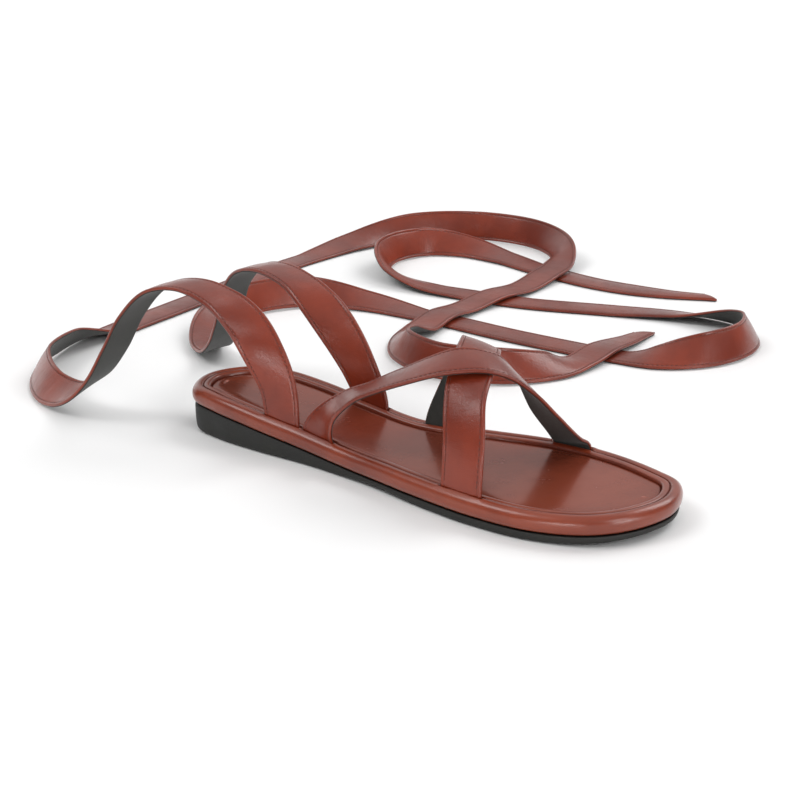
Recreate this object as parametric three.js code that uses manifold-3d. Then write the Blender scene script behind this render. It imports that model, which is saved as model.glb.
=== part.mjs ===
// Gladiator sandal, right shoe, empty and standing on its sole.
// Units are millimetres. +X points to the toe, +Y to the inner (medial) side, +Z up.
// The origin is under the middle of the shoe on the plane that it stands on.
import * as THREE from 'three';
import { mergeVertices } from 'three/addons/utils/BufferGeometryUtils.js';
import Module from 'manifold-3d';

const wasm = await Module();
wasm.setup();

// Driving sizes
const soleLength = 260;
const heelSeat = 14.2; // outsole thickness under the heel
const ballSeat = 4.0; // outsole thickness under the ball
const wedgeStart = 10; // the wedge runs down between these two stations
const wedgeEnd = 125;
const springStart = 205; // toe spring begins here
const toeSpring = 3.6; // lift of the tread at the toe
const toeThinning = 1.3; // outsole lost at the toe
const archRelief = 1.2; // lift of the tread under the waist
const archCentre = 130;
const archReach = 30;
const gap = 0.3; // between touching pieces
const rimHeight = 9; // leather-wrapped platform edge
const recessDepth = 3.8;
const recessInset = 9.4;
const strapThickness = 2.2;
const slotInset = 5; // middle of the strap slots, in from the edge
const slotDepth = 5.4;
const rootTop = 0.6; // end of a strap's straight root, over the rim's crest
const tipLength = 62; // the ties narrow over this length
const tipWidth = 10;
const tipSlant = 9;

// Outline of the platform: distance from the heel, half width to each side
const outlineRows = [
  { x: 8, lateral: 21, medial: 17.5 },
  { x: 26, lateral: 27, medial: 28.5 },
  { x: 52, lateral: 29, medial: 31.5 },
  { x: 85, lateral: 29, medial: 30.5 },
  { x: 117, lateral: 32, medial: 29.5 },
  { x: 151, lateral: 38.5, medial: 37.5 },
  { x: 184, lateral: 43, medial: 44.5 },
  { x: 214, lateral: 42, medial: 43 },
  { x: 239, lateral: 33, medial: 34.5 },
  { x: 253, lateral: 18.5, medial: 25.5 },
];
const heelPoint = { x: 0, y: -2 };
const toePoint = { x: soleLength, y: 4 };
const pointsPerSpan = 4;

const leather = new THREE.MeshStandardMaterial({ color: 0x8c4634, roughness: 0.42 });
const rimLeather = new THREE.MeshStandardMaterial({ color: 0x96462d, roughness: 0.38 });
const footbedLeather = new THREE.MeshStandardMaterial({ color: 0x965f50, roughness: 0.5 });
const rubber = new THREE.MeshStandardMaterial({ color: 0x32322e, roughness: 0.75 });

const sandal = new THREE.Group();

const clamp01 = (v) => Math.min(1, Math.max(0, v));
const smooth = (v) => clamp01(v) ** 2 * (3 - 2 * clamp01(v));
const springAt = (x) => clamp01((x - springStart) / (soleLength - springStart)) ** 2;

// Height of the tread: flat under heel and ball, lifted at the waist and the toe
function treadHeight(x) {
  return toeSpring * springAt(x) + archRelief * smooth(1 - Math.abs(x - archCentre) / archReach);
}

// Height of the outsole's top: a wedge from heel to waist, then level, then toe spring
function seatHeight(x) {
  const wedge = 1 - smooth((x - wedgeStart) / (wedgeEnd - wedgeStart));
  return ballSeat + (heelSeat - ballSeat) * wedge + (toeSpring - toeThinning) * springAt(x);
}

// Closed outline, from the heel along the lateral side to the toe and back
const outlinePoints = [
  new THREE.Vector3(heelPoint.x, heelPoint.y, 0),
  ...outlineRows.map((row) => new THREE.Vector3(row.x, -row.lateral, 0)),
  new THREE.Vector3(toePoint.x, toePoint.y, 0),
  ...outlineRows.toReversed().map((row) => new THREE.Vector3(row.x, row.medial, 0)),
];
const outlineCurve = new THREE.CatmullRomCurve3(outlinePoints, true, 'centripetal');
const ringSize = outlinePoints.length * pointsPerSpan;
const outlineSides = outlineCurve.getPoints(ringSize).map((point) => point.y);
const middleY = (Math.min(...outlineSides) + Math.max(...outlineSides)) / 2;

function outlineAt(u) {
  const turn = u - Math.floor(u);
  const point = outlineCurve.getPoint(turn);
  const tangent = outlineCurve.getTangent(turn);
  const outward = new THREE.Vector3(tangent.y, -tangent.x, 0).normalize();
  return { point, tangent, outward };
}

// Outline moved in by a distance, on a height that follows the sole
function ring(inset, heightAt) {
  const points = [];
  for (let i = 0; i < ringSize; i++) {
    const { point, outward } = outlineAt(i / ringSize);
    const moved = point.addScaledVector(outward, -inset);
    points.push(moved.setZ(heightAt(moved.x)));
  }
  return points;
}

// Closed body through a stack of rings, with a cap across the first and the last
function loft(rings) {
  const positions = rings.flat().flatMap((p) => [p.x, p.y, p.z]);
  const index = [];
  for (let r = 0; r + 1 < rings.length; r++) {
    for (let i = 0; i < ringSize; i++) {
      const j = (i + 1) % ringSize;
      const a = r * ringSize + i;
      const b = r * ringSize + j;
      index.push(a, b, b + ringSize, a, b + ringSize, a + ringSize);
    }
  }
  const half = ringSize / 2;
  const last = (rings.length - 1) * ringSize;
  for (let i = 0; i < half; i++) {
    const a = i;
    const b = i + 1;
    const c = (ringSize - i - 1) % ringSize;
    const d = (ringSize - i) % ringSize;
    if (b !== c) {
      index.push(a, c, b);
      index.push(last + a, last + b, last + c);
    }
    if (a !== d) {
      index.push(a, d, c);
      index.push(last + a, last + c, last + d);
    }
  }
  const geometry = new THREE.BufferGeometry();
  geometry.setAttribute('position', new THREE.Float32BufferAttribute(positions, 3));
  geometry.setIndex(index);
  return geometry;
}

// A flat strap carried along a curve. Each row gives a point on the middle line and the
// direction that the outer (brown) face looks in. The section is a rectangle with cut corners.
// The first step, and the last of a strap with two roots, is the straight root in its slot.
// The width runs evenly from the first of widths to the second.
const sectionCut = 0.6;
function strap(rows, widths, { steps, roots = 1, grow = 0, tip = false, onFloor = false }) {
  const points = rows.map((row) => new THREE.Vector3(row.x, row.y, row.z));
  const curve = new THREE.CatmullRomCurve3(points, false, 'centripetal');
  curve.arcLengthDivisions = 60 * (rows.length - 1);
  const lengths = curve.getLengths();
  const length = lengths.at(-1);
  const rootEnd = lengths[60] / length;
  const farEnd = roots === 2 ? lengths.at(-61) / length : 1;
  const bodySteps = steps - roots;
  const rootDirection = points[1].clone().sub(points[0]).normalize();
  const farDirection = points.at(-1).clone().sub(points.at(-2)).normalize();
  const halfThick = strapThickness / 2 + grow;
  const positions = [];
  for (let s = 0; s <= steps; s++) {
    const inBody = rootEnd + (farEnd - rootEnd) * (s - 1) / bodySteps;
    const u = s === 0 ? 0 : s === steps ? 1 : inBody;
    const t = curve.getUtoTmapping(u);
    const centre = curve.getPoint(t);
    let tangent = curve.getTangent(t);
    if (s <= 1) tangent = rootDirection;
    if (roots === 2 && s >= steps - 1) tangent = farDirection;
    const place = t * (rows.length - 1);
    const k = Math.min(Math.floor(place), rows.length - 2);
    const outer = new THREE.Vector3(...rows[k].face).lerp(new THREE.Vector3(...rows[k + 1].face), place - k);
    outer.addScaledVector(tangent, -outer.dot(tangent)).normalize();
    const across = new THREE.Vector3().crossVectors(tangent, outer).normalize();
    const left = length * (1 - u);
    const narrowing = tip ? smooth(1 - left / tipLength) : 0;
    const fullWidth = widths[0] + (widths[1] - widths[0]) * u;
    const halfWide = (fullWidth - narrowing * (fullWidth - tipWidth)) / 2 + grow;
    if (onFloor) {
      const lowest = halfWide * Math.abs(across.z) + halfThick * Math.abs(outer.z);
      centre.z = Math.max(centre.z, lowest);
    }
    const section = [
      [-halfWide, sectionCut - halfThick], [sectionCut - halfWide, -halfThick],
      [halfWide - sectionCut, -halfThick], [halfWide, sectionCut - halfThick],
      [halfWide, halfThick - sectionCut], [halfWide - sectionCut, halfThick],
      [sectionCut - halfWide, halfThick], [-halfWide, halfThick - sectionCut],
    ];
    const slant = tip && s === steps ? tipSlant / tipWidth : 0;
    for (const [wide, thick] of section) {
      const p = centre.clone().addScaledVector(across, wide).addScaledVector(outer, thick);
      p.addScaledVector(tangent, slant * (wide - halfWide));
      positions.push(p.x, p.y, p.z);
    }
  }
  const sides = 8;
  const index = [];
  for (let s = 0; s < steps; s++) {
    for (let i = 0; i < sides; i++) {
      const a = s * sides + i;
      const b = s * sides + (i + 1) % sides;
      index.push(a, a + sides, b + sides, a, b + sides, b);
    }
  }
  const end = steps * sides;
  for (let i = 1; i + 1 < sides; i++) {
    index.push(0, i, i + 1);
    index.push(end, end + i + 1, end + i);
  }
  const geometry = new THREE.BufferGeometry();
  geometry.setAttribute('position', new THREE.Float32BufferAttribute(positions, 3));
  geometry.setIndex(index);
  return { geometry, length };
}

function toSolid(geometry) {
  const merged = mergeVertices(geometry, 1e-4);
  return new wasm.Manifold(new wasm.Mesh({
    numProp: 3,
    vertProperties: new Float32Array(merged.attributes.position.array),
    triVerts: new Uint32Array(merged.index.array),
  }));
}

function toGeometry(solid) {
  const mesh = solid.getMesh();
  const geometry = new THREE.BufferGeometry();
  geometry.setAttribute('position', new THREE.BufferAttribute(mesh.vertProperties, 3));
  geometry.setIndex(new THREE.BufferAttribute(mesh.triVerts, 1));
  return geometry;
}

function addPiece(name, geometry, material) {
  const mesh = new THREE.Mesh(geometry, material);
  mesh.name = name;
  mesh.position.set(-soleLength / 2, -middleY, 0);
  sandal.add(mesh);
}

// Outsole: a rubber wedge with a rounded lower edge. Columns: inset, share of the thickness
const outsoleProfile = [
  { inset: 4.2, share: 0 },
  { inset: 2.4, share: 0.08 },
  { inset: 1.5, share: 0.3 },
  { inset: 1.2, share: 0.65 },
  { inset: 1.2, share: 1 },
];
function makeOutsole() {
  const rings = outsoleProfile.map(({ inset, share }) =>
    ring(inset, (x) => treadHeight(x) * (1 - share) + seatHeight(x) * share));
  return loft(rings);
}

// Midsole: the leather-wrapped platform. Columns: inset, height over its underside
const midsoleProfile = [
  { inset: 4.5, height: 0 },
  { inset: 1.9, height: 0.3 },
  { inset: 0.6, height: 1.7 },
  { inset: 0, height: 4.4 },
  { inset: 0.5, height: 6.9 },
  { inset: 2.0, height: 8.5 },
  { inset: 4.2, height: rimHeight },
  { inset: 5.3, height: 8.6 },
  { inset: 5.7, height: 7.8 },
  { inset: 6.2, height: 8.5 },
  { inset: 7.4, height: 8.8 },
  { inset: recessInset - 0.4, height: 8.4 },
  { inset: recessInset, height: 7.6 },
  { inset: recessInset, height: rimHeight - recessDepth },
];
const platformHeight = (x) => seatHeight(x) + gap;

// Insole: the footbed in the recess. Columns as for the midsole
const insoleProfile = [
  { inset: recessInset + gap, height: rimHeight - recessDepth + gap },
  { inset: recessInset + gap, height: 6.7 },
  { inset: recessInset + 1.2, height: 7.2 },
  { inset: recessInset + 6, height: 7.3 },
];
function profileLoft(profile) {
  return loft(profile.map(({ inset, height }) => ring(inset, (x) => platformHeight(x) + height)));
}

// Where a strap enters the rim: the slot line at a station, on the lateral or medial side
function anchor(x, side) {
  let low = side === 'lateral' ? 0 : 1;
  let high = 0.5;
  for (let i = 0; i < 40; i++) {
    const middle = (low + high) / 2;
    const { point, outward } = outlineAt(middle);
    if (point.x - outward.x * slotInset < x) low = middle;
    else high = middle;
  }
  const { point, outward } = outlineAt(low);
  const foot = point.addScaledVector(outward, -slotInset);
  return { x: foot.x, y: foot.y, top: platformHeight(foot.x) + rimHeight, face: outward.toArray() };
}
const slotRows = (spot, over, under) => [over, under].map((height) => (
  { x: spot.x, y: spot.y, z: spot.top + height, face: spot.face }));
const strapRoot = (spot) => slotRows(spot, gap - slotDepth, rootTop);

// Straps of the upper. Rows run over the foot from one slot to the other:
// a point on the middle line and the way the outer face looks
const crossStraps = {
  over: {
    from: { x: 89.5, side: 'lateral' },
    to: { x: 189.5, side: 'medial' },
    widths: [19.5, 19.5],
    rows: [
      { x: 100.5, y: -25, z: 32, face: [-0.6, -0.55, 0.6] },
      { x: 115, y: -24, z: 42.5, face: [-0.5, -0.2, 0.85] },
      { x: 134, y: -20.5, z: 52.5, face: [-0.35, -0.25, 0.9] },
      { x: 159, y: -11.5, z: 62.5, face: [0, -0.35, 0.95] },
      { x: 173, y: -1, z: 60.5, face: [0.45, 0.15, 0.9] },
      { x: 180.5, y: 10, z: 49.5, face: [0.5, 0.6, 0.65] },
      { x: 185, y: 22, z: 33, face: [0.2, 0.75, 0.65] },
      { x: 188.5, y: 35, z: 18.5, face: [0.1, 0.85, 0.5] },
    ],
  },
  under: {
    from: { x: 178, side: 'lateral' },
    to: { x: 126, side: 'medial' },
    widths: [22.5, 17.5],
    rows: [
      { x: 176.5, y: -33.5, z: 34.5, face: [-0.05, -0.95, 0.35] },
      { x: 171.5, y: -25.5, z: 48.5, face: [-0.1, -0.75, 0.65] },
      { x: 165.5, y: -11.5, z: 58, face: [0.1, -0.35, 0.95] },
      { x: 158, y: 6.5, z: 61.5, face: [0.3, 0.1, 0.95] },
      { x: 149, y: 22.5, z: 59.5, face: [0.1, 0.5, 0.85] },
      { x: 142, y: 29, z: 52, face: [-0.2, 0.85, 0.45] },
      { x: 133, y: 30, z: 34.5, face: [-0.3, 0.95, 0] },
    ],
  },
};
const crossSteps = 26;
function makeCrossStraps() {
  let joined = null;
  for (const { from, to, widths, rows } of Object.values(crossStraps)) {
    const start = strapRoot(anchor(from.x, from.side));
    const finish = strapRoot(anchor(to.x, to.side)).toReversed();
    const { geometry } = strap([...start, ...rows, ...finish], widths, { steps: crossSteps, roots: 2 });
    const solid = toSolid(geometry);
    joined = joined ? joined.add(solid) : solid;
  }
  return toGeometry(joined);
}

// Ties: each stands up from its slot, turns a quarter, falls back over the heel and lies on
// the floor, flat on the straights and on its edge round the loops. The lateral tie passes over
// the medial one, whose brown face is sewn in towards the foot.
const up = [0, 0, 1];
const flat = strapThickness / 2;
const overIt = 4.4; // middle line where a tie crosses another
const ties = {
  tie_lateral: {
    from: { x: 67.5, side: 'lateral' },
    widths: [20, 20],
    rows: [
      { x: 64.5, y: -23, z: 34, face: [0.2, -1, 0] },
      { x: 57, y: -24, z: 50, face: [0.55, -0.8, 0.1] },
      { x: 47, y: -25, z: 64, face: [0.85, -0.45, 0.3] },
      { x: 33, y: -27, z: 74, face: [0.6, -0.1, 0.8] },
      { x: 15, y: -29, z: 78, face: up },
      { x: -4, y: -31, z: 73, face: [-0.5, 0, 0.85] },
      { x: -19, y: -33, z: 58, face: [-0.85, 0, 0.5] },
      { x: -30, y: -35, z: 39, face: [-0.95, 0, 0.3] },
      { x: -42, y: -37, z: 22, face: [-0.85, -0.1, 0.5] },
      { x: -60, y: -37, z: 10, face: [-0.5, -0.3, 0.8] },
      { x: -86, y: -30, z: 7.5, face: [-0.4, -0.6, 0.7] },
      { x: -113, y: -8, z: 9.5, face: [-0.6, -0.6, 0.5] },
      { x: -130, y: 28, z: 8.5, face: [-0.7, -0.2, 0.65] },
      { x: -138, y: 74, z: flat, face: up },
      { x: -141, y: 122, z: flat, face: up },
      { x: -144, y: 172, z: flat, face: up },
      { x: -147, y: 222, z: flat, face: up },
      { x: -147, y: 268, z: flat, face: up },
      { x: -140, y: 314, z: 5, face: [0.3, -0.1, 0.9] },
      { x: -120, y: 356, z: 9.5, face: [0.7, -0.5, 0.5] },
      { x: -84, y: 383, z: 10, face: [0.35, -0.9, 0.35] },
      { x: -40, y: 386, z: 10, face: [-0.3, -0.9, 0.35] },
      { x: -6, y: 366, z: 9, face: [-0.5, -0.5, 0.65] },
      { x: 7, y: 341, z: 5, face: up },
      { x: 10, y: 318, z: 3.9, face: up },
      { x: 11, y: 290, z: 2, face: up },
      { x: 9, y: 257, z: overIt, face: up },
      { x: 6, y: 230, z: 2.4, face: up },
      { x: 6, y: 203, z: overIt, face: up },
      { x: 9, y: 178, z: 3, face: up },
      { x: 14, y: 152, z: 6.5, face: [-0.5, -0.25, 0.8] },
      { x: 33, y: 125, z: 10, face: [-0.5, -0.75, 0.4] },
      { x: 63, y: 115, z: 10, face: [0, -1, 0.35] },
      { x: 93, y: 125, z: 10, face: [0.5, -0.75, 0.4] },
      { x: 112, y: 152, z: 6.5, face: [0.5, -0.25, 0.8] },
      { x: 116, y: 176, z: 3, face: up },
      { x: 117, y: 201, z: overIt, face: up },
      { x: 119, y: 230, z: 2.4, face: up },
      { x: 119, y: 252, z: flat, face: up },
    ],
  },
  tie_medial: {
    from: { x: 84, side: 'medial' },
    widths: [20, 20],
    brownInward: true,
    rows: [
      { x: 77, y: 25, z: 33, face: [0.15, -1, 0] },
      { x: 65, y: 27, z: 47, face: [0.5, -0.85, 0.1] },
      { x: 50, y: 29, z: 60, face: [0.8, -0.5, 0.3] },
      { x: 33, y: 32, z: 69, face: [0.6, -0.15, 0.8] },
      { x: 14, y: 35, z: 72, face: up },
      { x: -5, y: 40, z: 67, face: [-0.5, 0.1, 0.85] },
      { x: -20, y: 46, z: 53, face: [-0.85, 0.1, 0.5] },
      { x: -31, y: 53, z: 35, face: [-0.9, 0.1, 0.3] },
      { x: -42, y: 60, z: 19, face: [-0.7, 0.1, 0.5] },
      { x: -56, y: 69, z: 7.5, face: [-0.3, 0, 0.9] },
      { x: -76, y: 84, z: 3.5, face: [0.2, 0, 1] },
      { x: -94, y: 110, z: 7, face: [0.6, -0.2, 0.7] },
      { x: -98, y: 146, z: 9.7, face: [0.85, -0.2, 0.4] },
      { x: -80, y: 182, z: 9.2, face: [0.5, -0.65, 0.5] },
      { x: -48, y: 200, z: 4.5, face: [0.1, -0.3, 0.95] },
      { x: -10, y: 204, z: flat, face: up },
      { x: 60, y: 200, z: flat, face: up },
      { x: 130, y: 201, z: flat, face: up },
      { x: 152, y: 204, z: 4.5, face: [0.1, -0.4, 0.9] },
      { x: 174, y: 221, z: 9, face: [0.6, -0.7, 0.5] },
      { x: 182, y: 247, z: 9.7, face: [0.9, 0, 0.4] },
      { x: 174, y: 273, z: 9, face: [0.6, 0.7, 0.5] },
      { x: 152, y: 290, z: 6, face: [0.2, 0.5, 0.85] },
      { x: 120, y: 290, z: 2.5, face: [0.05, 0.15, 1] },
      { x: 82, y: 279, z: flat, face: up },
      { x: 30, y: 262, z: flat, face: up },
      { x: -8, y: 257, z: flat, face: up },
      { x: -40, y: 254, z: 2.4, face: [0, 0.1, 1] },
      { x: -68, y: 259, z: 5.5, face: [0.2, 0.4, 0.9] },
      { x: -89, y: 275, z: 9, face: [0.6, 0.7, 0.5] },
      { x: -97, y: 301, z: 9.7, face: [0.9, 0, 0.4] },
      { x: -89, y: 327, z: 9, face: [0.6, -0.7, 0.5] },
      { x: -67, y: 342, z: 6, face: [0.2, -0.5, 0.85] },
      { x: -36, y: 343, z: 2.4, face: [0, -0.1, 1] },
      { x: -4, y: 335, z: flat, face: up },
      { x: 46, y: 326, z: flat, face: up },
      { x: 90, y: 330, z: flat, face: up },
      { x: 122, y: 341, z: flat, face: up },
    ],
  },
};
const tieSteps = 78;

// Strap slots: a short straight strap, larger by the gap, cut out of the rim
function slotSolid({ x, side, width }) {
  const rows = slotRows(anchor(x, side), -slotDepth, 3);
  return toSolid(strap(rows, [width, width], { steps: 1, roots: 0, grow: gap }).geometry);
}
function makeMidsole() {
  let solid = toSolid(profileLoft(midsoleProfile));
  const crossSlots = Object.values(crossStraps).flatMap(({ from, to, widths }) => [
    { ...from, width: widths[0] }, { ...to, width: widths[1] }]);
  const tieSlots = Object.values(ties).map(({ from, widths }) => ({ ...from, width: widths[0] }));
  for (const slot of [...crossSlots, ...tieSlots]) solid = solid.subtract(slotSolid(slot));
  return toGeometry(solid);
}

addPiece('outsole', makeOutsole(), rubber);
addPiece('midsole', makeMidsole(), rimLeather);
addPiece('insole', profileLoft(insoleProfile), footbedLeather);
addPiece('cross_straps', makeCrossStraps(), leather);
for (const [name, { from, widths, brownInward, rows }] of Object.entries(ties)) {
  const spot = anchor(from.x, from.side);
  if (brownInward) spot.face = spot.face.map((v) => -v);
  const start = strapRoot(spot);
  const { geometry } = strap([...start, ...rows], widths, { steps: tieSteps, tip: true, onFloor: true });
  addPiece(name, geometry, leather);
}

export default sandal;
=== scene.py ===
# Gladiator sandal, right shoe, empty, with its leg ties lying loose behind it.
# Rows and sizes are in millimetres; meshes are made in metres. +X toe, +Y inner side, +Z up.
import math

import bmesh
import bpy
import numpy as np
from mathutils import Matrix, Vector


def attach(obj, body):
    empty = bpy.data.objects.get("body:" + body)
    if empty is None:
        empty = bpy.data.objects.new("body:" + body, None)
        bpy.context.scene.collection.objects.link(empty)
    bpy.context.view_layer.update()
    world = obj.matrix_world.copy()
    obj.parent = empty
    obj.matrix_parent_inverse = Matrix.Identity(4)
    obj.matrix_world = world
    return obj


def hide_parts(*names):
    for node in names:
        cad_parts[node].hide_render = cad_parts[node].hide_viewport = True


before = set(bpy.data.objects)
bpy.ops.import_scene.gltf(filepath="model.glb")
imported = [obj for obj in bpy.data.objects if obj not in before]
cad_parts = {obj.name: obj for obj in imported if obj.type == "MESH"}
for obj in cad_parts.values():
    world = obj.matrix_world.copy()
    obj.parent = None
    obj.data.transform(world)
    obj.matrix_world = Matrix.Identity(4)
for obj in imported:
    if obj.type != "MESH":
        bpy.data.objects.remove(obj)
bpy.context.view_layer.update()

mm = 0.001
weldReach = 1e-7           # metres; points nearer than this become one

# The shoe: one dictionary of driving sizes, then the outline of the platform
shoe = {
    "length": 260.0,
    "heelSeat": 14.2,      # outsole thickness under the heel
    "ballSeat": 4.0,       # and under the ball
    "wedgeStart": 10.0,
    "wedgeEnd": 125.0,
    "springStart": 205.0,
    "toeSpring": 3.6,
    "toeThinning": 1.3,
    "archRelief": 1.2,
    "archCentre": 130.0,
    "archReach": 30.0,
    "gap": 0.3,            # between touching pieces
    "rimHeight": 9.0,
    "slotInset": 5.0,
    "slotDepth": 5.4,
    "columns": 900,        # round the outline
    "sideSamples": 4001,   # along each side, to space the columns evenly
}
outlineRows = [  # distance from the heel, half width to the lateral and the medial side
    (8, 21, 17.5), (26, 27, 28.5), (52, 29, 31.5), (85, 29, 30.5), (117, 32, 29.5),
    (151, 38.5, 37.5), (184, 43, 44.5), (214, 42, 43), (239, 33, 34.5), (253, 18.5, 25.5),
]
heelPoint = (0.0, -2.0)
toePoint = (260.0, 4.0)


def smooth(v):
    # soft step: 3 v^2 - 2 v^3, with v held between 0 and 1
    v = np.clip(v, 0.0, 1.0)
    return v * v * (3.0 - 2.0 * v)


def unit(v):
    # each vector over its own length
    return v / np.maximum(np.linalg.norm(v, axis=-1, keepdims=True), 1e-12)


def springAt(x):
    # share of the toe spring: the square of the way from its start to the tip
    return np.clip((x - shoe["springStart"]) / (shoe["length"] - shoe["springStart"]), 0, 1) ** 2


def treadHeight(x):
    # flat under heel and ball: toe spring x its share + arch relief x a soft step at the waist
    waist = smooth(1 - np.abs(x - shoe["archCentre"]) / shoe["archReach"])
    return shoe["toeSpring"] * springAt(x) + shoe["archRelief"] * waist


def seatHeight(x):
    # top of the outsole: ball seat + wedge x a soft step down from the heel + rise at the toe
    wedge = 1 - smooth((x - shoe["wedgeStart"]) / (shoe["wedgeEnd"] - shoe["wedgeStart"]))
    rise = (shoe["toeSpring"] - shoe["toeThinning"]) * springAt(x)
    return shoe["ballSeat"] + (shoe["heelSeat"] - shoe["ballSeat"]) * wedge + rise


def platformHeight(x):
    # underside of the platform: the outsole's top + the gap
    return seatHeight(x) + shoe["gap"]


def curveThrough(points, at, closed=False):
    # Centripetal Catmull-Rom: on each span p1..p2 the cubic p1 + m1 t + (3 d - 2 m1 - m2) t^2 +
    # (m1 + m2 - 2 d) t^3, where d = p2 - p1 and the slopes weigh each chord by its square root
    points = np.asarray(points, float)
    count = len(points)
    if closed:
        padded = np.vstack([points[-1:], points, points[:2]])
        spans = count
    else:
        padded = np.vstack([2 * points[0] - points[1], points, 2 * points[-1] - points[-2]])
        spans = count - 1
    span = np.clip(np.floor(at).astype(int), 0, spans - 1)
    t = (at - span)[:, None]
    p0, p1, p2, p3 = (padded[span + i] for i in range(4))
    d0, d1, d2 = (np.sqrt(np.linalg.norm(b - a, axis=1))[:, None]
                  for a, b in ((p0, p1), (p1, p2), (p2, p3)))
    m1 = ((p1 - p0) / d0 - (p2 - p0) / (d0 + d1) + (p2 - p1) / d1) * d1
    m2 = ((p2 - p1) / d1 - (p3 - p1) / (d1 + d2) + (p3 - p2) / d2) * d1
    d = p2 - p1
    return p1 + m1 * t + (3 * d - 2 * m1 - m2) * t ** 2 + (m1 + m2 - 2 * d) * t ** 3


def runLength(points):
    # distance run at each point of a line: the sum of the chords before it
    return np.r_[0.0, np.cumsum(np.linalg.norm(np.diff(points, axis=0), axis=1))]


def readAt(spots, runs, values):
    # each column of values, read between its rows at the given distances run
    return np.stack([np.interp(spots, runs, column) for column in values.T], axis=1)


def closeUp(line):
    # a closed line with its first row repeated as its last
    return np.vstack([line, line[:1]])


# Outline: the same number of columns on both sides, evenly spaced from heel to toe,
# so that column i on the lateral side faces column -i on the medial side
outlinePoints = np.array(
    [heelPoint] + [(x, -lateral) for x, lateral, medial in outlineRows]
    + [toePoint] + [(x, medial) for x, lateral, medial in outlineRows[::-1]])
half = shoe["columns"] // 2
spansToToe = len(outlineRows) + 1
outline = []
for first in (0, spansToToe):
    dense = np.linspace(first, first + spansToToe, shoe["sideSamples"])
    runs = runLength(curveThrough(outlinePoints, dense, closed=True))
    at = np.interp(np.linspace(0, runs[-1], half + 1)[:-1], runs, dense)
    outline.append(curveThrough(outlinePoints, at, closed=True))
outline = np.vstack(outline)
outlineTangent = unit(np.roll(outline, -1, axis=0) - np.roll(outline, 1, axis=0))
outward = np.stack([outlineTangent[:, 1], -outlineTangent[:, 0]], axis=1)
middleY = (outline[:, 1].min() + outline[:, 1].max()) / 2
shoeOrigin = np.array([shoe["length"] / 2, middleY, 0.0])
print("outline", len(outline), "columns")


def anchor(x, side):
    # A strap's foot on the slot line at x, at the height of the rim's crest, and the way out there
    line = outline - shoe["slotInset"] * outward
    part = slice(0, half) if side == "lateral" else slice(half, 2 * half)
    order = np.argsort(line[part, 0])
    xs = line[part, 0][order]
    y = np.interp(x, xs, line[part, 1][order])
    out = unit(readAt([x], xs, outward[part][order])[0])
    top = float(platformHeight(np.array(x))) + shoe["rimHeight"]
    return {"foot": np.array([x, y, top]), "out": np.array([out[0], out[1], 0.0])}


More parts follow.
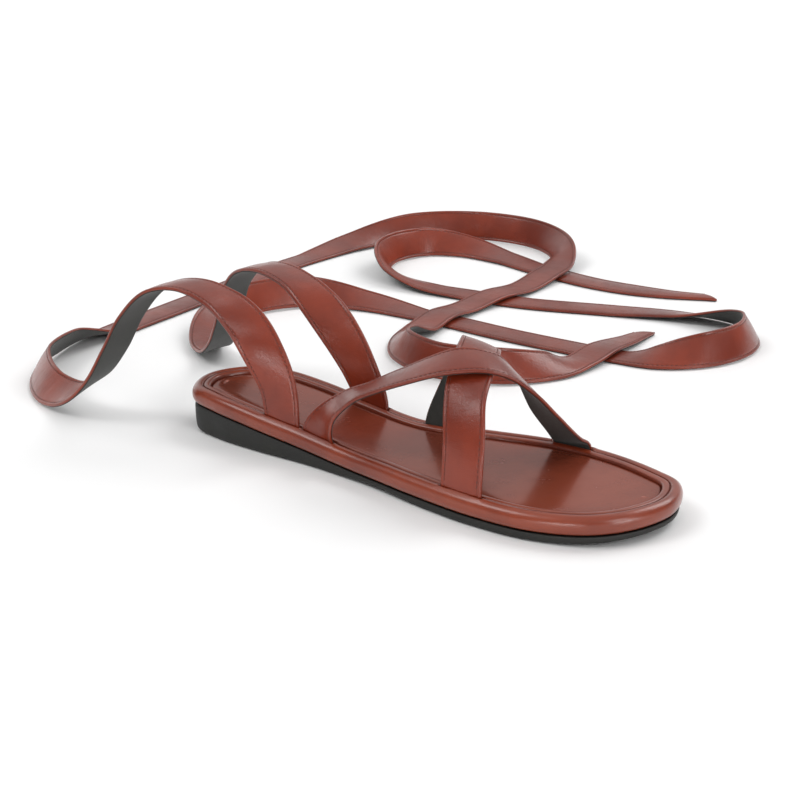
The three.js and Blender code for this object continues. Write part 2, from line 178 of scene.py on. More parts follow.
# Straps: where each enters the rim, then points on its middle line and the way its face looks
strapSizes = {
    "width": 20.0,         # the section's own width, scaled to each strap's
    "thickness": 2.2,
    "rootTop": 0.6,        # end of the straight root, over the rim's crest
    "step": 2.0,           # between stations
    "samplesPerSpan": 60,  # between rows, to space the stations evenly
    "meanPasses": 3,       # of the running mean along directions
    "tipLength": 62.0,
    "tipWidth": 10.0,
    "tipSlant": 9.0,       # one corner of the tip behind the other
    "slantLength": 14.0,
}
up = (0, 0, 1)             # a face that looks up
flat = strapSizes["thickness"] / 2  # middle line of a tie that lies flat on the floor
overIt = 4.4               # and where it crosses over another
straps = {
    "over": {
        "from": (89.5, "lateral"), "to": (189.5, "medial"), "width": (19.5, 19.5),
        "rows": [
            (100.5, -25, 32, (-0.6, -0.55, 0.6)), (115, -24, 42.5, (-0.5, -0.2, 0.85)),
            (134, -20.5, 52.5, (-0.35, -0.25, 0.9)), (159, -11.5, 62.5, (0, -0.35, 0.95)),
            (173, -1, 60.5, (0.45, 0.15, 0.9)), (180.5, 10, 49.5, (0.5, 0.6, 0.65)),
            (185, 22, 33, (0.2, 0.75, 0.65)), (188.5, 35, 18.5, (0.1, 0.85, 0.5)),
        ],
    },
    "under": {
        "from": (178, "lateral"), "to": (126, "medial"), "width": (22.5, 17.5),
        "rows": [
            (176.5, -33.5, 34.5, (-0.05, -0.95, 0.35)), (171.5, -25.5, 48.5, (-0.1, -0.75, 0.65)),
            (165.5, -11.5, 58, (0.1, -0.35, 0.95)), (158, 6.5, 61.5, (0.3, 0.1, 0.95)),
            (149, 22.5, 59.5, (0.1, 0.5, 0.85)), (142, 29, 52, (-0.2, 0.85, 0.45)),
            (133, 30, 34.5, (-0.3, 0.95, 0)),
        ],
    },
    "tie_lateral": {
        "from": (67.5, "lateral"), "to": None, "width": (20, 20),
        "rows": [
            (64.5, -23, 34, (0.2, -1, 0)), (57, -24, 50, (0.55, -0.8, 0.1)),
            (47, -25, 64, (0.85, -0.45, 0.3)), (33, -27, 74, (0.6, -0.1, 0.8)), (15, -29, 78, up),
            (-4, -31, 73, (-0.5, 0, 0.85)), (-19, -33, 58, (-0.85, 0, 0.5)),
            (-30, -35, 39, (-0.95, 0, 0.3)), (-42, -37, 22, (-0.85, -0.1, 0.5)),
            (-60, -37, 10, (-0.5, -0.3, 0.8)), (-86, -30, 7.5, (-0.4, -0.6, 0.7)),
            (-113, -8, 9.5, (-0.6, -0.6, 0.5)), (-130, 28, 8.5, (-0.7, -0.2, 0.65)),
            (-138, 74, flat, up), (-141, 122, flat, up), (-144, 172, flat, up), (-147, 222, flat, up),
            (-147, 268, flat, up), (-140, 314, 5, (0.3, -0.1, 0.9)),
            (-120, 356, 9.5, (0.7, -0.5, 0.5)), (-84, 383, 10, (0.35, -0.9, 0.35)),
            (-40, 386, 10, (-0.3, -0.9, 0.35)), (-6, 366, 9, (-0.5, -0.5, 0.65)), (7, 341, 5, up),
            (10, 318, 3.9, up), (11, 290, 2, up), (9, 257, overIt, up), (6, 230, 2.4, up),
            (6, 203, overIt, up), (9, 178, 3, up), (14, 152, 6.5, (-0.5, -0.25, 0.8)),
            (33, 125, 10, (-0.5, -0.75, 0.4)), (63, 115, 10, (0, -1, 0.35)),
            (93, 125, 10, (0.5, -0.75, 0.4)), (112, 152, 6.5, (0.5, -0.25, 0.8)), (116, 176, 3, up),
            (117, 201, overIt, up), (119, 230, 2.4, up), (119, 252, flat, up),
        ],
    },
    "tie_medial": {
        "from": (84, "medial"), "to": None, "width": (20, 20),
        "brownInward": True,
        "rows": [
            (77, 25, 33, (0.15, -1, 0)), (65, 27, 47, (0.5, -0.85, 0.1)),
            (50, 29, 60, (0.8, -0.5, 0.3)), (33, 32, 69, (0.6, -0.15, 0.8)), (14, 35, 72, up),
            (-5, 40, 67, (-0.5, 0.1, 0.85)), (-20, 46, 53, (-0.85, 0.1, 0.5)),
            (-31, 53, 35, (-0.9, 0.1, 0.3)), (-42, 60, 19, (-0.7, 0.1, 0.5)),
            (-56, 69, 7.5, (-0.3, 0, 0.9)), (-76, 84, 3.5, (0.2, 0, 1)),
            (-94, 110, 7, (0.6, -0.2, 0.7)), (-98, 146, 9.7, (0.85, -0.2, 0.4)),
            (-80, 182, 9.2, (0.5, -0.65, 0.5)), (-48, 200, 4.5, (0.1, -0.3, 0.95)),
            (-10, 204, flat, up), (60, 200, flat, up), (130, 201, flat, up),
            (152, 204, 4.5, (0.1, -0.4, 0.9)), (174, 221, 9, (0.6, -0.7, 0.5)),
            (182, 247, 9.7, (0.9, 0, 0.4)), (174, 273, 9, (0.6, 0.7, 0.5)),
            (152, 290, 6, (0.2, 0.5, 0.85)), (120, 290, 2.5, (0.05, 0.15, 1)), (82, 279, flat, up),
            (30, 262, flat, up), (-8, 257, flat, up), (-40, 254, 2.4, (0, 0.1, 1)),
            (-68, 259, 5.5, (0.2, 0.4, 0.9)), (-89, 275, 9, (0.6, 0.7, 0.5)),
            (-97, 301, 9.7, (0.9, 0, 0.4)), (-89, 327, 9, (0.6, -0.7, 0.5)),
            (-67, 342, 6, (0.2, -0.5, 0.85)), (-36, 343, 2.4, (0, -0.1, 1)), (-4, 335, flat, up),
            (46, 326, flat, up), (90, 330, flat, up), (122, 341, flat, up),
        ],
    },
}


def strapFrames(name):
    # Stations along a strap: middle line c(s), its direction T, the face's way O = hint less its
    # part along T, and across A = T x O. Straight where it stands in a slot; a tie's last stretch
    # narrows to its slanted tip.
    spec = straps[name]
    start = anchor(*spec["from"])
    foot, out = start["foot"], start["out"] * (-1 if spec.get("brownInward") else 1)
    low = shoe["gap"] - shoe["slotDepth"]
    points = [foot + (0, 0, low), foot + (0, 0, strapSizes["rootTop"])]
    faces = [out, out]
    for x, y, z, face in spec["rows"]:
        points.append(np.array([x, y, z], float))
        faces.append(np.array(face, float))
    if spec["to"]:
        end = anchor(*spec["to"])
        points += [end["foot"] + (0, 0, strapSizes["rootTop"]), end["foot"] + (0, 0, low)]
        faces += [end["out"], end["out"]]
    points, faces = np.array(points), np.array(faces)
    spans = len(points) - 1
    dense = np.linspace(0, spans, strapSizes["samplesPerSpan"] * spans + 1)
    runs = runLength(curveThrough(points, dense))
    length = runs[-1]
    stations = int(round(length / strapSizes["step"])) + 1
    at = np.interp(np.linspace(0, length, stations), runs, dense)
    centre = curveThrough(points, at)
    tangent = unit(np.gradient(centre, axis=0))
    tangent[at <= 1] = (0, 0, 1)
    if spec["to"]:
        tangent[at >= spans - 1] = (0, 0, -1)
    hint = readAt(at, np.arange(spans + 1), faces)
    for vectors in (tangent, hint):  # a short running mean takes out the corners between rows
        for _ in range(strapSizes["meanPasses"]):
            vectors[1:-1] = (vectors[:-2] + 2 * vectors[1:-1] + vectors[2:]) / 4
    tangent = unit(tangent)
    outer = unit(hint - np.sum(hint * tangent, axis=1, keepdims=True) * tangent)
    across = unit(np.cross(tangent, outer))
    s = np.linspace(0, length, stations)
    halfWide = np.linspace(*spec["width"], stations) / 2
    slant = np.zeros(stations)
    if not spec["to"]:
        remaining = length - s
        narrowing = smooth(1 - remaining / strapSizes["tipLength"])
        halfWide -= narrowing * (halfWide - strapSizes["tipWidth"] / 2)
        slope = strapSizes["tipSlant"] / strapSizes["tipWidth"]
        slant = slope * smooth(1 - remaining / strapSizes["slantLength"])
        lowest = halfWide * np.abs(across[:, 2]) + flat * np.abs(outer[:, 2])
        centre[:, 2] = np.maximum(centre[:, 2], lowest)  # nothing under the floor
    return {"s": s, "centre": centre, "tangent": tangent, "outer": outer, "across": across,
            "halfWide": halfWide, "slant": slant, "length": length}


def strapPoint(path, w, h):
    # A point for each station and each (w, h) of the section: c + A w' + O h + T slant (w' - half)
    wide = w[None, :] * (path["halfWide"] / (strapSizes["width"] / 2))[:, None]
    shift = path["slant"][:, None] * (wide - path["halfWide"][:, None])
    return (path["centre"][:, None] + path["across"][:, None] * wide[..., None]
            + path["outer"][:, None] * h[None, :, None]
            + path["tangent"][:, None] * shift[..., None])


# A strap's section, from the middle line out: brown leather over a black lining
strapSection = {
    "face": 0.82,          # the outer face at its seams, over the middle line
    "crown": 0.42,
    "seam": 8.1,           # stitched channel, from the middle line
    "channelDepth": 0.14,
    "channelWidth": 0.42,
    "lipHeight": 0.1,
    "lipOffset": 1.05,     # outside the seam
    "lipWidth": 0.5,
    "stations": (0, 2, 4, 5.8, 7.0, 7.45, 7.75, 8.1, 8.45, 8.75, 9.0, 9.25),
    "upperEdge": ((9.55, 0.78), (9.78, 0.6), (9.93, 0.32), (9.98, 0.05)),
    "lowerEdge": ((9.55, -0.62), (9.78, -0.58), (9.93, -0.44), (9.98, -0.25)),
    "leatherUnder": -0.62,
    "liningUpper": ((0, -0.68), (3, -0.68), (6, -0.68), (8.5, -0.68), (9.3, -0.68),
                    (9.55, -0.73), (9.65, -0.82)),
    "liningLower": ((0, -1.1), (3, -1.1), (6, -1.1), (8.5, -1.1), (9.3, -1.09),
                    (9.55, -1.04), (9.65, -0.95)),
    "edgeFrom": 7.2,       # edge tone: where it starts, and its run
    "edgeRun": 2.6,
    "seamTone": 0.5,       # width of the seam's tone, the stitch line with painted shade in its channel
}


def crownHeight(w):
    # Outer face: face + crown x (1 - (w / seam)^2) between the seams - a bell-shaped channel
    # at the seam + a bell-shaped lip outside it
    sizes = strapSection
    fromSeam = np.abs(w) - sizes["seam"]
    crown = sizes["crown"] * np.clip(1 - (w / sizes["seam"]) ** 2, 0, 1)
    channel = sizes["channelDepth"] * np.exp(-(fromSeam / sizes["channelWidth"]) ** 2)
    lip = sizes["lipHeight"] * np.exp(-((fromSeam - sizes["lipOffset"]) / sizes["lipWidth"]) ** 2)
    return sizes["face"] + crown - channel + lip


def strapSections():
    # Two closed sections, each an upper and a lower row of points with the same w:
    # the brown leather with rounded edges, and the black lining under it
    stations = np.array(strapSection["stations"])
    under = np.full(len(stations), strapSection["leatherUnder"])
    leather = (np.vstack([np.stack([stations, crownHeight(stations)], axis=1),
                          strapSection["upperEdge"]]),
               np.vstack([np.stack([stations, under], axis=1), strapSection["lowerEdge"]]))
    lining = (np.array(strapSection["liningUpper"]), np.array(strapSection["liningLower"]))
    sections = {}
    for name, pair in {"leather": leather, "lining": lining}.items():
        upper, lower = (np.vstack([row[:0:-1] * (-1, 1), row]) for row in pair)
        sections[name] = np.vstack([upper, lower[::-1]])
    return sections


def ringFaces(rows, columns):
    # Quads between each ring and the next, closed round
    a = np.arange(rows - 1)[:, None] * columns + np.arange(columns)[None, :]
    b = np.arange(rows - 1)[:, None] * columns + (np.arange(columns)[None, :] + 1) % columns
    return np.stack([a, b, b + columns, a + columns], axis=-1).reshape(-1, 4)


def ladderFaces(pairA, pairB):
    # Quads across a closed ring, between points that face each other
    return np.stack([pairA[:-1], pairA[1:], pairB[1:], pairB[:-1]], axis=-1)


def newPiece(name, vertices, faces, attributes=None, merge=False, recalculate=False):
    # Vertices come in millimetres, in the rows' own place; the mesh is put in the frame's place.
    # attributes are values per vertex, for the materials.
    mesh = bpy.data.meshes.new(name)
    placed = (vertices.reshape(-1, 3) - shoeOrigin) * mm
    pinched = faces == np.roll(faces, -1, axis=1)  # quads with one corner twice become triangles
    thin = pinched.any(axis=1)
    corners = [face[~twice].tolist() for face, twice in zip(faces[thin], pinched[thin])]
    mesh.from_pydata(placed.tolist(), [], faces[~thin].tolist() + corners)
    for key, values in (attributes or {}).items():
        kind = "FLOAT_VECTOR" if values.ndim == 2 else "FLOAT"
        layer = mesh.attributes.new(key, kind, "POINT")
        layer.data.foreach_set("vector" if values.ndim == 2 else "value",
                               values.astype(np.float32).ravel())
    if merge or recalculate:
        work = bmesh.new()
        work.from_mesh(mesh)
        if merge:
            bmesh.ops.remove_doubles(work, verts=work.verts, dist=weldReach)
        if recalculate:
            bmesh.ops.recalc_face_normals(work, faces=work.faces)
        work.to_mesh(mesh)
        work.free()
    mesh.polygons.foreach_set("use_smooth", [True] * len(mesh.polygons))
    mesh.update()
    piece = bpy.data.objects.new(name, mesh)
    bpy.context.collection.objects.link(piece)
    return piece


def strapPiece(name, path, section):
    # Section carried along the path: rings of points, ladder caps at both ends. "lay" is the
    # distance along and across the strap, "edge" and "seam" the shares of those tones.
    points = strapPoint(path, section[:, 0], section[:, 1])
    rows, columns = points.shape[:2]
    sides = columns // 2
    upperRow = np.arange(sides)
    lowerRow = columns - 1 - upperRow
    faces = [ringFaces(rows, columns)]
    for first, turned in ((0, True), ((rows - 1) * columns, False)):
        cap = ladderFaces(first + upperRow, first + lowerRow)
        faces.append(cap[:, ::-1] if turned else cap)
    wide = np.broadcast_to(section[:, 0], (rows, columns))
    run = np.broadcast_to(path["s"][:, None], (rows, columns))
    lay = np.stack([run, wide, np.zeros_like(run)], axis=-1).reshape(-1, 3) * mm
    off = np.abs(wide).ravel()
    edge = smooth((off - strapSection["edgeFrom"]) / strapSection["edgeRun"])
    # seam tone: the dark stitch line with painted shade in its channel
    seam = np.exp(-((off - strapSection["seam"]) / strapSection["seamTone"]) ** 2)
    return newPiece(name, points, np.vstack(faces), {"lay": lay, "edge": edge, "seam": seam})


# One stitch, a short bead with tapered ends, and the rows of them on the straps
stitch = {
    "rings": ((-0.5, 0.35), (-0.32, 1.0), (0.32, 1.0), (0.5, 0.35)),  # along it, share of radius
    "broad": 1.15,         # flattened a little
    "tall": 0.85,
    "pitch": 2.2,
    "length": 1.5,
    "radius": 0.17,
    "footClear": 9.0,      # from a strap's end in its slot to the first stitch
    "tipClear": 5.0,
    "lift": 0.1,           # over the channel's floor
    "lean": 0.06,          # off the seam's direction
}


def stitchPiece(name, centres, along, outer, length, radius):
    # One mesh of many stitches. A corner is centre + along x place x length
    # + side x cos(turn) x size x radius + outer x sin(turn) x size x radius
    place, size = np.array(stitch["rings"]).T
    sides, rings = 6, len(size)  # the caps below are for six sides
    turn = np.arange(sides) * 2 * math.pi / sides
    steps = (np.repeat(place, sides) * length,
             np.outer(size, np.cos(turn)).ravel() * radius * stitch["broad"],
             np.outer(size, np.sin(turn)).ravel() * radius * stitch["tall"])
    ways = (along, np.cross(outer, along), outer)
    points = centres[:, None] + sum(way[:, None] * step[:, None] for way, step in zip(ways, steps))
    last = sides * (rings - 1)
    caps = np.array([[0, 5, 4, 3], [3, 2, 1, 0]])
    quads = np.vstack([ringFaces(rings, sides), caps, last + caps[:, ::-1]])
    first = sides * rings * np.arange(len(centres))
    faces = (quads[None] + first[:, None, None]).reshape(-1, 4)
    return newPiece(name, points, faces, recalculate=True)


def strapStitches(name, paths):
    # Two rows on each strap, in the channels, from rim to rim or to the cut tip
    centres, along, outer = [], [], []
    seam = strapSection["seam"]
    height = crownHeight(np.array([seam]))[0] + stitch["lift"]
    for path in paths:
        cut = path["slant"].max() > 0
        stop = path["length"] - stitch["tipClear" if cut else "footClear"]
        spots = np.arange(stitch["footClear"], stop, stitch["pitch"])
        centre, tangent, face, across = (
            readAt(spots, path["s"], path[key]) for key in ("centre", "tangent", "outer", "across"))
        halfWide = np.interp(spots, path["s"], path["halfWide"])
        slant = np.interp(spots, path["s"], path["slant"])
        for sign in (-1, 1):
            w = sign * seam * halfWide / (strapSizes["width"] / 2)
            shift = slant * (w - halfWide)
            centres.append(centre + across * w[:, None] + face * height + tangent * shift[:, None])
            along.append(unit(tangent + stitch["lean"] * sign * across))
            outer.append(face)
    return stitchPiece(name, np.vstack(centres), np.vstack(along), np.vstack(outer),
                       stitch["length"], stitch["radius"])


# Camera, before any piece: from the outer side and towards the toe, with shoe and ties in view
view = {
    "azimuth": 34.5,
    "elevation": 22.0,
    "distance": 800.0,
    "lens": 76.5,
    "sensor": 36.0,
    "aim": (-34.0, 32.0, 18.0),  # the middle of shoe and ties as seen from there
}
az, el = math.radians(view["azimuth"]), math.radians(view["elevation"])
back = Vector((math.sin(az) * math.cos(el), -math.cos(az) * math.cos(el), math.sin(el)))
cameraData = bpy.data.cameras.new("camera")
cameraData.lens = view["lens"]
cameraData.sensor_width = view["sensor"]
camera = bpy.data.objects.new("camera", cameraData)
camera.location = back * (view["distance"] * mm)
aim = Vector(view["aim"]) * mm
camera.rotation_euler = (aim - camera.location).to_track_quat("-Z", "Y").to_euler()
bpy.context.collection.objects.link(camera)
bpy.context.scene.camera = camera
bpy.context.view_layer.update()


# Materials
def plug(tree, socket, value):
    # A link where value is a node's socket, else the socket's own value
    if isinstance(value, bpy.types.NodeSocket):
        tree.links.new(value, socket)
    else:
        socket.default_value = value


def node(tree, kind, options=None, **inputs):
    # One shader node: options are its settings; inputs go to sockets by name, or by number as i0
    made = tree.nodes.new("ShaderNode" + kind)
    for key, value in (options or {}).items():
        setattr(made, key, value)
    for key, value in inputs.items():
        numbered = key[0] == "i" and key[1:].isdigit()
        plug(tree, made.inputs[int(key[1:])] if numbered else made.inputs[key], value)
    return made


def linear(red, green, blue):
    # screen colour 0..255 to the linear colour that a shader takes
    c = np.array([red, green, blue]) / 255.0
    return (*np.where(c <= 0.04045, c / 12.92, ((c + 0.055) / 1.055) ** 2.4).tolist(), 1.0)


def ramp(tree, value, start, stop, low=0.0, high=1.0, shape="SMOOTHSTEP"):
    # value's way from start to stop, as low to high
    ends = {"From Min": start, "From Max": stop, "To Min": low, "To Max": high}
    return node(tree, "MapRange", {"interpolation_type": shape}, Value=value,
                **ends).outputs["Result"]


def noise(tree, vector, scale, detail):
    return node(tree, "TexNoise", Vector=vector, Scale=scale, Detail=detail).outputs["Fac"]


def mixColour(tree, share, first, second):
    return node(tree, "Mix", {"data_type": "RGBA"}, i0=share, i6=first, i7=second).outputs[2]


def times(tree, first, second):
    return node(tree, "Math", {"operation": "MULTIPLY"}, i0=first, i1=second).outputs[0]


def layered(tree, layers, below=0.0):
    # below + each layer x its depth
    for layer, depth in layers:
        below = node(tree, "Math", {"operation": "MULTIPLY_ADD"}, i0=layer, i1=depth,
                     i2=below).outputs[0]
    return below


def attribute(tree, name, output):
    return node(tree, "Attribute", {"attribute_name": name}).outputs[output]


def objectPlace(tree):
    return node(tree, "TexCoord").outputs["Object"]


def dress(tree, shader, tone, rough, height, look, coatShare=0.0):
    # The shader's colour, roughness and bump; a coat takes its share of the same bump
    plug(tree, shader.inputs["Base Color"], tone)
    plug(tree, shader.inputs["Roughness"], rough)
    strengths = {"Normal": look["bump"]}
    if coatShare:
        strengths["Coat Normal"] = look["bump"] * coatShare
    for name, strength in strengths.items():
        bump = node(tree, "Bump", Height=height, Strength=strength, Distance=look["bumpDistance"])
        plug(tree, shader.inputs[name], bump.outputs["Normal"])


def newMaterial(name):
    material = bpy.data.materials.new(name)
    material.use_nodes = True
    material.node_tree.nodes.clear()
    tree = material.node_tree
    output = tree.nodes.new("ShaderNodeOutputMaterial")
    shader = tree.nodes.new("ShaderNodeBsdfPrincipled")
    tree.links.new(shader.outputs["BSDF"], output.inputs["Surface"])
    return material, tree, shader


leatherPattern = {  # the same on every leather; scales are per metre
    "patchRange": (0.32, 0.68),
    "mottleRange": (0.45, 0.75),
    "mottleShare": 0.3,
    "poreEdge": 0.22,
    "fineFactor": 2.2,     # finer than the grain
    "cockleScale": 70.0,
    "creaseScale": (420.0, 90.0, 1.0),  # along a strap, across it
    "roughRange": (0.3, 0.7),
    "coatShare": 0.8,      # of the bump
}
strapLook = {
    "dark": (107, 36, 18), "light": (130, 48, 26), "edge": (90, 30, 17),
    "patchScale": 28.0, "mottleScale": 160.0, "grainScale": 1300.0,
    "grainDepth": 0.25, "fineDepth": 0.3, "cockleDepth": 2.6, "creaseDepth": 1.0,
    "bump": 0.3, "bumpDistance": 0.0004, "edgeShare": 0.05, "seamShare": 0.1,
    "rough": (0.3, 0.4), "specular": 0.22, "metallic": 0.0, "coat": 0.55, "coatRough": 0.12,
}
# On the rim the edge tone is painted shade at its foot and down its inner wall, and the seam tone is
# the stitch line with painted shade in the groove
rimLook = {
    "dark": (112, 42, 22), "light": (134, 55, 30), "edge": (70, 27, 18),
    "patchScale": 30.0, "mottleScale": 170.0, "grainScale": 1400.0,
    "grainDepth": 0.3, "fineDepth": 0.4, "cockleDepth": 1.2,
    "bump": 0.14, "bumpDistance": 0.0004, "edgeShare": 0.4, "seamShare": 0.45,
    "rough": (0.28, 0.36), "specular": 0.35, "metallic": 0.0, "coat": 0.55, "coatRough": 0.12,
}
# On the footbed the edge tone is painted shade on its rolled edge, against the rim's inner wall
footbedLook = {
    "dark": (126, 55, 37), "light": (148, 70, 49), "edge": (94, 39, 27),
    "patchScale": 18.0, "mottleScale": 120.0, "grainScale": 1200.0,
    "grainDepth": 0.15, "fineDepth": 0.3, "cockleDepth": 2.0,
    "bump": 0.05, "bumpDistance": 0.0004, "edgeShare": 0.4, "seamShare": 0.0,
    "rough": (0.2, 0.28), "specular": 0.3, "metallic": 0.35, "coat": 0.3, "coatRough": 0.1,
}


def leatherMaterial(name, look):
    # Two tones in soft patches, darker at edges and seams: at a strap's edges its own burnished
    # tone, at the rim's foot and inner wall and the footbed's rolled edge painted shade, and along
    # seams the stitch line with painted shade in its channel. Height = grain + fine noise + soft
    # cockling, and on a strap creases across it, each x its depth. A thin gloss coat on top.
    material, tree, shader = newMaterial(name)
    place = objectPlace(tree)
    pattern = leatherPattern
    dark, light, edgeToneAndShade = (linear(*look[key]) for key in ("dark", "light", "edge"))
    patches = noise(tree, place, look["patchScale"], detail=3.0)
    mottle = noise(tree, place, look["mottleScale"], detail=5.0)
    tone = mixColour(tree, ramp(tree, patches, *pattern["patchRange"]), dark, light)
    flecks = ramp(tree, mottle, *pattern["mottleRange"])
    tone = mixColour(tree, times(tree, flecks, pattern["mottleShare"]), tone, dark)
    # edge: a strap's burnished edge, painted shade on rim and footbed; seam: stitch line with painted
    # shade in its channel
    for key in ("edge", "seam"):
        share = times(tree, attribute(tree, key, "Fac"), look[key + "Share"])
        tone = mixColour(tree, share, tone, edgeToneAndShade)
    cells = node(tree, "TexVoronoi", {"feature": "DISTANCE_TO_EDGE"}, Vector=place,
                 Scale=look["grainScale"]).outputs["Distance"]
    fineScale = look["grainScale"] * pattern["fineFactor"]
    layers = [
        (ramp(tree, cells, 0.0, pattern["poreEdge"]), look["grainDepth"]),
        (noise(tree, place, fineScale, detail=4.0), look["fineDepth"]),
        (noise(tree, place, pattern["cockleScale"], detail=2.0), look["cockleDepth"]),
    ]
    if "creaseDepth" in look:
        stretched = node(tree, "VectorMath", {"operation": "MULTIPLY"},
                         i0=attribute(tree, "lay", "Vector"), i1=pattern["creaseScale"])
        creases = noise(tree, stretched.outputs[0], scale=1.0, detail=3.0)
        layers.append((creases, look["creaseDepth"]))
    rough = ramp(tree, mottle, *pattern["roughRange"], *look["rough"], "LINEAR")
    dress(tree, shader, tone, rough, layered(tree, layers), look, pattern["coatShare"])
    shader.inputs["Metallic"].default_value = look["metallic"]
    shader.inputs["Coat Weight"].default_value = look["coat"]
    shader.inputs["Coat Roughness"].default_value = look["coatRough"]
    shader.inputs["Specular IOR Level"].default_value = look["specular"]
    return material


rubberLook = {
    "dark": (15, 15, 12), "light": (27, 27, 23), "toneRange": (0.35, 0.7),
    "scuffScale": 90.0, "stippleScale": 1800.0, "pitScale": 1100.0,
    "stippleDepth": 0.7, "pitDepth": 0.4, "bump": 0.3, "bumpDistance": 0.0004,
    "roughRange": (0.3, 0.7), "rough": (0.5, 0.68),
}


def rubberMaterial():
    # Black rubber: fine moulded stipple and pits, faint scuffed patches, duller where scuffed
    material, tree, shader = newMaterial("blackRubber")
    place = objectPlace(tree)
    look = rubberLook
    scuff = noise(tree, place, look["scuffScale"], detail=6.0)
    stipple = noise(tree, place, look["stippleScale"], detail=3.0)
    pits = node(tree, "TexVoronoi", Vector=place, Scale=look["pitScale"]).outputs["Distance"]
    tone = mixColour(tree, ramp(tree, scuff, *look["toneRange"]), linear(*look["dark"]),
                     linear(*look["light"]))
    height = layered(tree, [(stipple, look["stippleDepth"]), (pits, look["pitDepth"])])
    rough = ramp(tree, scuff, *look["roughRange"], *look["rough"], "LINEAR")
    dress(tree, shader, tone, rough, height, look)
    return material


liningLook = {
    "dark": (27, 27, 24), "light": (43, 44, 39), "fuzzShare": 0.9, "fuzzScale": 900.0,
    "weaveScale": 420.0, "weaveWander": 0.6, "bump": 0.25, "bumpDistance": 0.0003,
    "rough": 0.82, "sheen": 0.15,
}


def liningMaterial():
    # Black microfibre: a fine cross weave laid along the strap, warp x weft + fuzz, soft sheen
    material, tree, shader = newMaterial("blackLining")
    look = liningLook
    lay = attribute(tree, "lay", "Vector")
    warp, weft = (node(tree, "TexWave", {"bands_direction": way}, Vector=lay,
                       Scale=look["weaveScale"], Distortion=look["weaveWander"]).outputs["Fac"]
                  for way in ("X", "Y"))
    fuzz = noise(tree, objectPlace(tree), look["fuzzScale"], detail=4.0)
    tone = mixColour(tree, times(tree, fuzz, look["fuzzShare"]), linear(*look["dark"]),
                     linear(*look["light"]))
    dress(tree, shader, tone, look["rough"], layered(tree, [(warp, weft)], fuzz), look)
    shader.inputs["Sheen Weight"].default_value = look["sheen"]
    return material


threadLook = {
    "dark": (76, 30, 19), "light": (102, 43, 28), "twistScale": 2400.0, "twistRange": (0.4, 0.6),
    "bump": 0.3, "bumpDistance": 0.0002, "rough": 0.55,
}


def threadMaterial():
    # Waxed thread: two tones along its twist
    material, tree, shader = newMaterial("waxedThread")
    look = threadLook
    twist = noise(tree, objectPlace(tree), look["twistScale"], detail=2.0)
    tone = mixColour(tree, ramp(tree, twist, *look["twistRange"]), linear(*look["dark"]),
                     linear(*look["light"]))
    dress(tree, shader, tone, look["rough"], twist, look)
    return material


strapLeather = leatherMaterial("strapLeather", strapLook)
rimLeather = leatherMaterial("rimLeather", rimLook)
footbedLeather = leatherMaterial("footbedLeather", footbedLook)
blackRubber = rubberMaterial()
blackLining = liningMaterial()
waxedThread = threadMaterial()
print("materials made")


def finishPiece(piece, material, nodes=()):
    # Material, and parented to the root body; nodes are the part's own nodes that the piece stands in
    # for, and are hidden
    piece.data.materials.append(material)
    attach(piece, "root")
    if nodes:
        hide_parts(*nodes)
    return piece


# Ties: leather, lining and stitches, each tie a flat cord from its slot to its bare tip
sections = strapSections()
for name in ("tie_lateral", "tie_medial"):
    path = strapFrames(name)
    leather = finishPiece(strapPiece(name + "_leather", path, sections["leather"]),
                          strapLeather, [name])
    lining = finishPiece(strapPiece(name + "_lining", path, sections["lining"]),
                         blackLining)
    stitches = finishPiece(strapStitches(name + "_stitches", [path]), waxedThread)
    line = (path["centre"] - shoeOrigin) * mm
    print(name, "length", round(path["length"]), "mm")

# Cross straps: both over the forefoot, the over strap on top where they cross
crossPaths = [strapFrames("over"), strapFrames("under")]
for name, path, nodes in zip(("over", "under"), crossPaths, (["cross_straps"], [])):
    finishPiece(strapPiece("cross_strap_" + name, path, sections["leather"]),
                strapLeather, nodes)
    finishPiece(strapPiece("cross_lining_" + name, path, sections["lining"]),
                blackLining)
finishPiece(strapStitches("cross_stitches", crossPaths), waxedThread)
print("straps made")


# Column i on the lateral side, and the column that faces it
lateralColumns = np.arange(0, half + 1)
medialColumns = (2 * half - lateralColumns) % (2 * half)


def refine(profile, rowsPerSpan):
    # a profile's points, with a smooth curve through them
    spans = len(profile) - 1
    return curveThrough(profile, np.linspace(0, spans, spans * rowsPerSpan + 1))


def outlineRings(profile, heightAt):
    # profile rows (inset, value): the outline moved in along its normal, at heightAt(x, value)
    inset = profile[:, 0][:, None, None]
    xy = outline[None] - inset * outward[None]
    z = heightAt(xy[..., 0], profile[:, 1][:, None])
    return np.concatenate([xy, z[..., None]], axis=-1)


def ladderCap(first, turned):
    # Closes a ring of the outline: column i is joined to column -i
    cap = ladderFaces(first + lateralColumns, first + medialColumns)
    return cap[:, ::-1] if turned else cap


